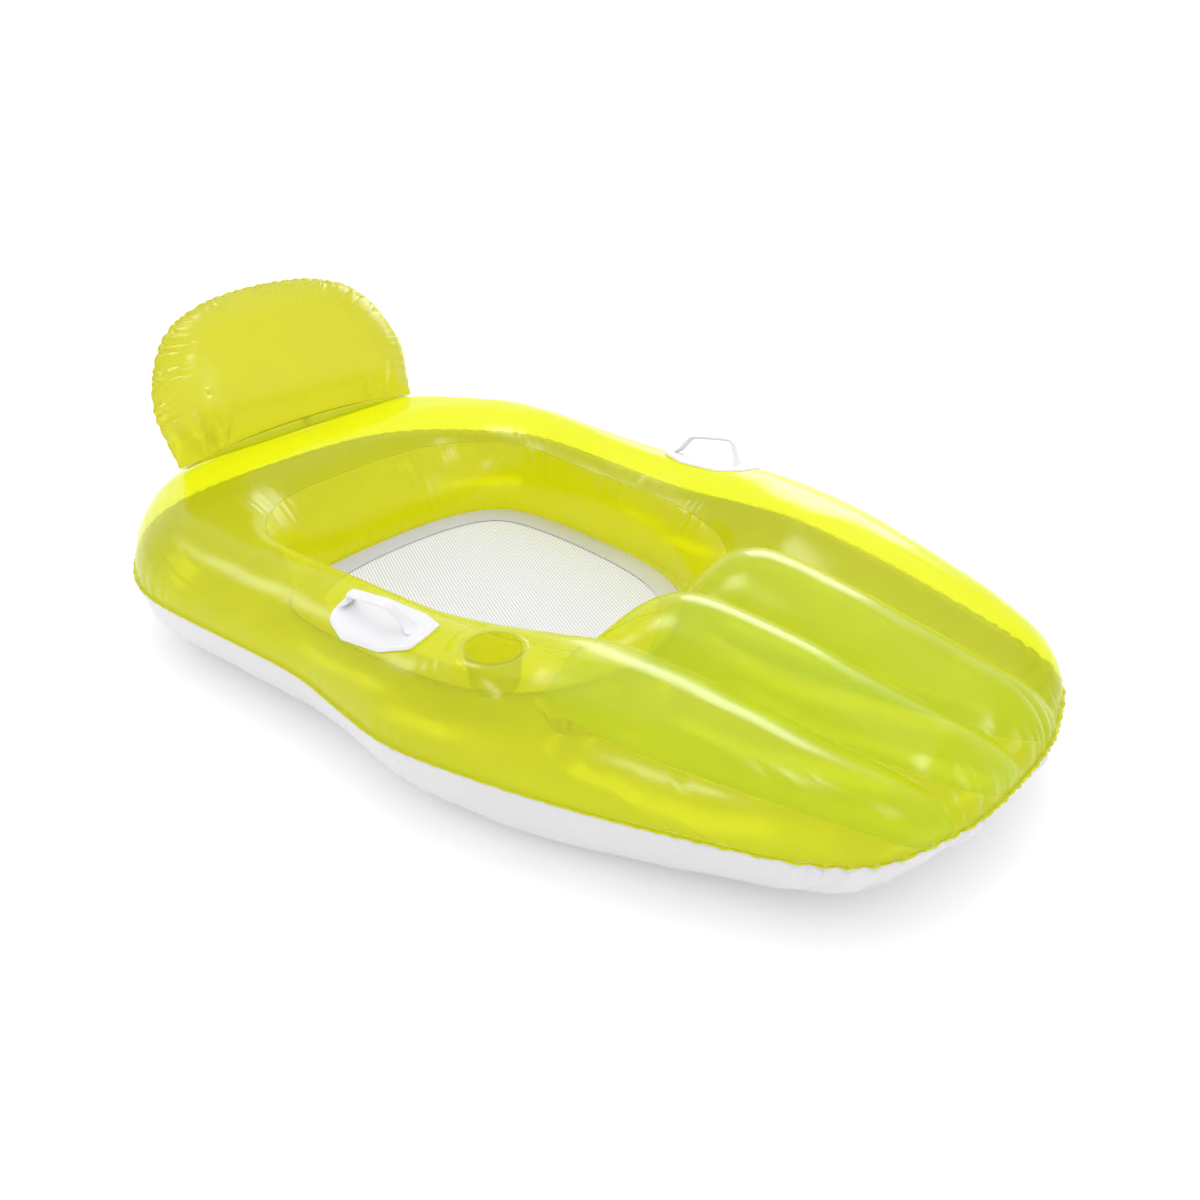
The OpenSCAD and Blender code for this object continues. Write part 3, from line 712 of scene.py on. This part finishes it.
def handle(name, side):
    """A base plate and its grip. side is -1 on the right and 1 on the left."""
    base_name = name + "_handle_base"
    low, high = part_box(base_name)
    mid_x, half_x = (low.x + high.x) / 2, (high.x - low.x) / 2
    mid_y, half_y = (low.y + high.y) / 2, (high.y - low.y) / 2
    # The outline: a rounded hexagon, as (share of the half length, share of the half width)
    uu, vv = np.meshgrid(np.linspace(-1, 1, 61), np.linspace(-1, 1, 37))
    parallel, taper = 0.45, 0.4   # share of the length between its long sides, and its narrowing to the ends
    past = np.abs(uu) - parallel
    half = 1 - taper / (1 - parallel) * 0.5 * (past + np.sqrt(past ** 2 + 0.04 ** 2))
    half *= np.sqrt(1 - 0.995 * np.abs(uu) ** 30)   # the ends' corners are round
    q = np.stack([mid_x + uu * half_x, mid_y + side * vv * half * half_y], -1)
    z = top_height(q.reshape(-1, 2)).reshape(uu.shape) + BASE_GAP
    # The way in from the plate's edge, for its rounded lip and raised rim
    edge = np.minimum((1 - np.abs(vv)) * half * half_y, (1 - np.abs(uu)) * half_x)
    lift = BASE_T * round_in(edge / LIP_R) + RIM_H * np.exp(-((edge - RIM_IN) / RIM_W) ** 2)
    skirt = np.dstack([q, z])
    plate = np.concatenate([skirt[:1], np.dstack([q, z + lift]), skirt[-1:]])
    plate = np.concatenate([plate[:, :1], plate, plate[:, -1:]], 1)
    plate[1:-1, 0], plate[1:-1, -1] = skirt[:, 0], skirt[:, -1]
    base = grid_mesh(name + "_handle_plate", plate, moulded, "float", wrap=False,
                     flip=side > 0)
    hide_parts(base_name)

    # The grip: a soft bar in an arch that flops outwards, on feet that spread into the plate
    joint = JOINTS[name + "_grip_flex"]
    hinge = np.array(joint["pos_m"])
    along = np.array(joint["axis"], float)
    along /= np.linalg.norm(along)
    out_dir = np.array([0, side, 0.0])
    upright = np.cross(along, out_dir) * side
    # (along the hinge line, up, half breadth, half thickness, lean in degrees) from a foot to the crown
    rising = np.array([(0.0790, -0.0046, 0.0120, 0.0004, 0), (0.0755, -0.0040, 0.0140, 0.0012, 0),
                       (0.0695, -0.0022, 0.0130, 0.0024, 8), (0.0640, 0.0030, 0.0100, 0.0033, 16),
                       (0.0595, 0.0095, 0.0078, 0.0035, 22), (0.0535, 0.0195, 0.0066, 0.0035, 25),
                       (0.0485, 0.0275, 0.0070, 0.0032, 25), (0.0430, 0.0322, 0.0078, 0.0030, 25),
                       (0.0360, 0.0334, 0.0080, 0.0030, 25), (0.0180, 0.0337, 0.0080, 0.0029, 25),
                       (0, 0.0337, 0.0080, 0.0029, 25)])
    falling = rising[-2::-1] * [-1, 1, 1, 1, 1]
    arch = np.concatenate([rising, falling])
    crown_rise = 0.1   # to the foot end, as a slope of the crown
    arch[:, 1] += crown_rise * arch[:, 0] * arch[:, 1] / 0.033
    fine = np.linspace(0, len(arch) - 1, 121)
    arch = np.column_stack([np.interp(fine, range(len(arch)), arch[:, k]) for k in range(5)])
    for _ in range(14):
        arch[1:-1] = 0.25 * arch[:-2] + 0.5 * arch[1:-1] + 0.25 * arch[2:]
    lean = np.radians(arch[:, 4:5])
    up = upright * np.cos(lean) + out_dir * np.sin(lean)
    broad = out_dir * np.cos(lean) - upright * np.sin(lean)   # the bar's breadth
    middle = hinge + arch[:, 0:1] * along + arch[:, 1:2] * up
    normal = np.cross(np.gradient(middle, axis=0), broad)
    normal /= np.linalg.norm(normal, axis=1)[:, None]
    a = np.linspace(0, 2 * np.pi, 48, endpoint=False)
    boxy = 0.75   # a rounded box section: 1 is an ellipse
    across = np.sign(np.sin(a)) * np.abs(np.sin(a)) ** boxy
    thick = np.sign(np.cos(a)) * np.abs(np.cos(a)) ** boxy
    rings = (middle[:, None] + normal[:, None] * (arch[:, None, 3:4] * thick[None, :, None])
             + broad[:, None] * (arch[:, None, 2:3] * across[None, :, None]))
    grip = tube_mesh(name + "_grip_bar", rings, moulded, None, flip=side > 0)
    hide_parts(name + "_grip")
    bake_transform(grip)


handle("right", -1)
handle("left", 1)

# ---------------------------------------------------------------------------------------------
# The backrest: two films welded round their edge, blown up
REST_AT = np.array(JOINTS["backrest_fold"]["pos_m"])
REST_LEAN = math.radians(20)
REST_TALL = 0.280
REST_FRONT, REST_REAR = 0.050, 0.042   # depth of each face from the seam
REST_FOLD = {1: 0.105, -1: 0.060}   # height at which the front and the rear face reach their full depth
REST_SPREAD = {1: 0.115, -1: 0.090}   # how far in from the seam they do
REST_HALF = [   # up the backrest from its hinge line, as (height, half width)
    (0.0150, 0), (0.0130, 0.090), (0.0050, 0.180), (-0.0100, 0.2710), (0.014, 0.2750), (0.055, 0.282),
    (0.100, 0.284), (0.148, 0.270), (0.196, 0.243), (0.233, 0.206), (0.256, 0.154), (0.270, 0.091),
    (0.275, 0)]
REST_SPAN, REST_ROWS = 24, 44   # points in each span of this outline, and rows in to the middle
rest_up = np.array([-math.sin(REST_LEAN), 0, math.cos(REST_LEAN)])
rest_out = np.array([math.cos(REST_LEAN), 0, math.sin(REST_LEAN)])
rest_side = np.array([0, 1.0, 0])
rest_edge = spline([(-y, h) for h, y in REST_HALF] + [(y, h) for h, y in REST_HALF[-2:0:-1]],
                   REST_SPAN, spread=4)
rest_core = np.array([0, REST_TALL / 2])
hinge_points = 3 * REST_SPAN   # the hinge line's, to either side of its middle
arch_line = np.roll(rest_edge, -hinge_points, 0)[:len(rest_edge) - 2 * hinge_points + 1]
rest_s, REST_ROUND = way_along(rest_edge)
REST_FOLDS = ((0.020, 0.0034), (0.040, 0.0030), (0.085, 0.0026))   # (wavelength, height)
# Gathered round the arch, flat on the hinge line, and most on the shoulders
shoulder = fade((np.abs(rest_edge[:, 0]) - 0.12) / 0.10) * fade((rest_edge[:, 1] - 0.03) / 0.04)
rest_gather = 0.8 + 0.5 * shoulder
rest_gather *= fade((rest_edge[:, 1] - 0.012) / 0.03)
scallops = 0.0034 * rest_gather * (1 - ruffle(rest_s, REST_ROUND, 0.020))
rest_edge = rest_edge + loop_normals(rest_edge) * scallops[:, None]   # this loop's normals point inwards


def rest_face(side, depth):
    """A face of the backrest: rows from its edge to its middle. side is 1 in front and -1 behind."""
    rows = np.linspace(0, 1, REST_ROWS)[:, None, None] ** 1.5
    q = rest_edge[None] + (rest_core - rest_edge)[None] * rows * 0.995
    flat = q.reshape(-1, 2)
    d = distance(flat, arch_line, closed=False)
    low = 1 - (1 - np.clip((flat[:, 1] + 0.004) / REST_FOLD[side], 0, 1)) ** 2
    h = depth * round_in(d / REST_SPREAD[side]) * low
    h = h.reshape(q.shape[:2])
    grid = (REST_AT + q[..., 1:2] * rest_up + (side * h[..., None]) * rest_out
            + q[..., 0:1] * rest_side)
    return grid, h, q


def rest_puckers(grid, h, q, side):
    """A face of the backrest with its puckers and creases. h is its depth over the seam, q its plan."""
    arc = arc_from_first(grid)
    fold = 1.4 * puckers(arc, rest_s[None], REST_ROUND, rest_gather[None], REST_FOLDS, 1.0)
    fold *= 1 - fade(arc / 0.10)
    # Two soft creases that run up from each lower corner
    height = q[..., 1]
    crease_run = fade((height - 0.004) / 0.02) * (1 - fade((height - 0.035) / 0.07))
    for y, slant, deep in ((-0.212, -0.32, 1), (-0.180, 0.06, 1), (0.150, 0.1, 0.4), (0.192, 0.2, 0.4)):
        aside = q[..., 0] - (y + slant * height)
        line = np.exp(-(aside / 0.0075) ** 2) - 0.6 * np.exp(-((aside - 0.013) / 0.009) ** 2)
        fold += 0.0100 * deep * line * crease_run
    normal = grid_normals(grid)
    toward = np.sign((normal * rest_out).sum(-1).mean()) * side
    fold += 0.0010 * fade(h / 0.02) * swell_noise(grid, 0.14, 2.0 + side)
    return grid + fold[..., None] * normal * toward


REST_FLANGE = 0.004
outwards = -loop_normals(rest_edge)   # this loop runs the other way round
rest_wave = 0.0012 * (2 * ruffle(rest_s, REST_ROUND, 0.040) - 1) * fade((rest_edge[:, 1] - 0.02) / 0.03)
# The rear face takes the lighter copy of the white vinyl, painted light
for name, side, depth, material, slot in (
        ("front", 1, REST_FRONT, lime_rest, "lime_film"), ("rear", -1, REST_REAR, lit_white_rest, "white_film")):
    grid, h, q = rest_face(side, depth)
    grid = rest_puckers(grid, h, q, side)
    flange = []
    for width in (REST_FLANGE, REST_FLANGE / 2):
        narrowed = width * fade(rest_edge[:, 1] / 0.02)   # to nothing on the hinge line
        p = rest_edge + outwards * narrowed[:, None]
        lift = rest_wave * narrowed / REST_FLANGE + side * 0.0003
        flange.append(REST_AT + p[:, 1:2] * rest_up + lift[:, None] * rest_out
                      + p[:, 0:1] * rest_side)
    face = np.concatenate([np.stack(flange), grid])
    rows, cols = face.shape[:2]
    verts = np.concatenate([face.reshape(-1, 3), face[-1].mean(0)[None]])
    faces = [tuple(f) for f in grid_faces(rows, cols, flip=side < 0)]
    last, hub = (rows - 1) * cols, rows * cols
    for i in range(cols):
        a, b = last + i, last + (i + 1) % cols
        faces.append((a, b, hub) if side > 0 else (b, a, hub))
    skin = add_mesh("backrest_" + name + "_film", verts, faces, material, None)
    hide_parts("backrest_" + name)
    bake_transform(skin)
    if side < 0:
        cut_valve_hole(skin, "back_valve")

# The hem: a single film between the pillow's lower edge and its weld on top of the ring
HEM_HALF = 0.264
HEM_TOE = 0.012   # how far the hem lies flat on the ring, in front of the hinge line
across = np.linspace(-HEM_HALF, HEM_HALF, 121)
hem_edge = rest_edge[np.abs(rest_edge[:, 0]) <= HEM_HALF + 0.001]
hem_edge = hem_edge[hem_edge[:, 1] < 0.018]
hem_edge = hem_edge[np.argsort(hem_edge[:, 0])]
hem_h = np.interp(across, hem_edge[:, 0], hem_edge[:, 1])


def on_ring(dx, lift):
    """A line across the ring, dx in front of the hinge line and lifted off the film."""
    q = np.column_stack([np.full(len(across), REST_AT[0] + dx), across])
    return np.column_stack([q, top_height(q) + lift])


hem_top = REST_AT + hem_h[:, None] * rest_up + across[:, None] * rest_side
foot_line = on_ring(0.001, 0.0022)
hem = np.concatenate([
    np.stack([on_ring(dx, 0.0012) for dx in (HEM_TOE, HEM_TOE * 0.6, HEM_TOE * 0.3)]), foot_line[None],
    np.stack([foot_line * (1 - t) + hem_top * t for t in (0.25, 0.5, 0.75, 1.0)])])
# The hem's darker, cloudier vinyl is painted shade under the pillow
hem_film = grid_mesh("backrest_hem_film", hem, lime_weld_and_shade, None, wrap=False)
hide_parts("backrest_strip")
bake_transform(hem_film)

# The valves keep their CAD shapes.
for node_name, node in NODES.items():
    if "valve" in node_name:
        for material_slot in node.material_slots:
            material_slot.material = clear

# ---------------------------------------------------------------------------------------------
# Stage, light and camera


def area_light(name, at, aim, size, power, only_gloss=False):
    """A soft box. only_gloss lights it in the highlights alone."""
    data = bpy.data.lights.new(name, "AREA")
    data.shape = "RECTANGLE"
    data.size, data.size_y = size
    data.energy = power
    light = bpy.data.objects.new(name, data)
    light.location = at
    light.rotation_euler = (Vector(aim) - Vector(at)).to_track_quat("-Z", "Y").to_euler()
    light.visible_diffuse = light.visible_transmission = not only_gloss
    bpy.context.scene.collection.objects.link(light)


floor_mesh = bpy.data.meshes.new("floor")
reach = 60
FLOOR_Z = -0.0006   # just under the film that rests on it
floor_mesh.from_pydata([(x * reach, y * reach, FLOOR_Z) for x, y in ((-1, -1), (1, -1), (1, 1), (-1, 1))],
                       [], [(0, 1, 2, 3)])
floor_look = Nodes("pale_floor")
floor_paper = floor_look.add("ShaderNodeBsdfDiffuse", Color=(0.93, 0.93, 0.93, 1))
floor_glow = floor_look.add("ShaderNodeEmission", Color=(1, 1, 1, 1), Strength=0.14)
floor_both = floor_look.add("ShaderNodeAddShader", n0=floor_paper, n1=floor_glow)
floor_mesh.materials.append(floor_look.done(floor_both))
floor = bpy.data.objects.new("floor", floor_mesh)
bpy.context.scene.collection.objects.link(floor)

world = bpy.data.worlds.new("studio")
bpy.context.scene.world = world
world.use_nodes = True
background = world.node_tree.nodes["Background"]
background.inputs["Color"].default_value = (1, 1, 1, 1)
background.inputs["Strength"].default_value = 1.12

area_light("overhead", (-0.5, 0.6, 3.2), (0, 0, 0.1), (3.0, 3.0), 22)
area_light("back_shine", (-0.8, 2.2, 1.2), (0.3, 0, 0.2), (1.5, 1.0), 25, only_gloss=True)
area_light("crown_shine", (-0.9, -0.3, 1.9), (0.1, -0.1, 0.2), (0.7, 0.6), 13, only_gloss=True)
area_light("left_shine", (-2.0, -1.2, 1.9), (-0.3, -0.2, 0.2), (0.6, 0.6), 10, only_gloss=True)
area_light("foot_shine", (2.4, 0.6, 1.6), (0.4, 0, 0.2), (0.5, 1.0), 6, only_gloss=True)
area_light("rest_shine", (0.95, -0.35, 1.95), (-0.5, -0.1, 0.3), (0.4, 0.4), 6, only_gloss=True)
area_light("side_shine", (0.75, -2.0, 1.1), (0.4, -0.3, 0.15), (0.35, 0.25), 4, only_gloss=True)

camera_data = bpy.data.cameras.new("camera")
camera_data.lens = 35.69
camera_data.sensor_width = 36
camera = bpy.data.objects.new("camera", camera_data)
camera.location = (1.21827, -1.29337, 1.08213)
look_at = Vector((0.08459, 0.0063, 0.130))
camera.rotation_euler = (look_at - camera.location).to_track_quat("-Z", "Y").to_euler()
bpy.context.scene.collection.objects.link(camera)
bpy.context.scene.camera = camera
bpy.context.scene.view_settings.view_transform = "Standard"
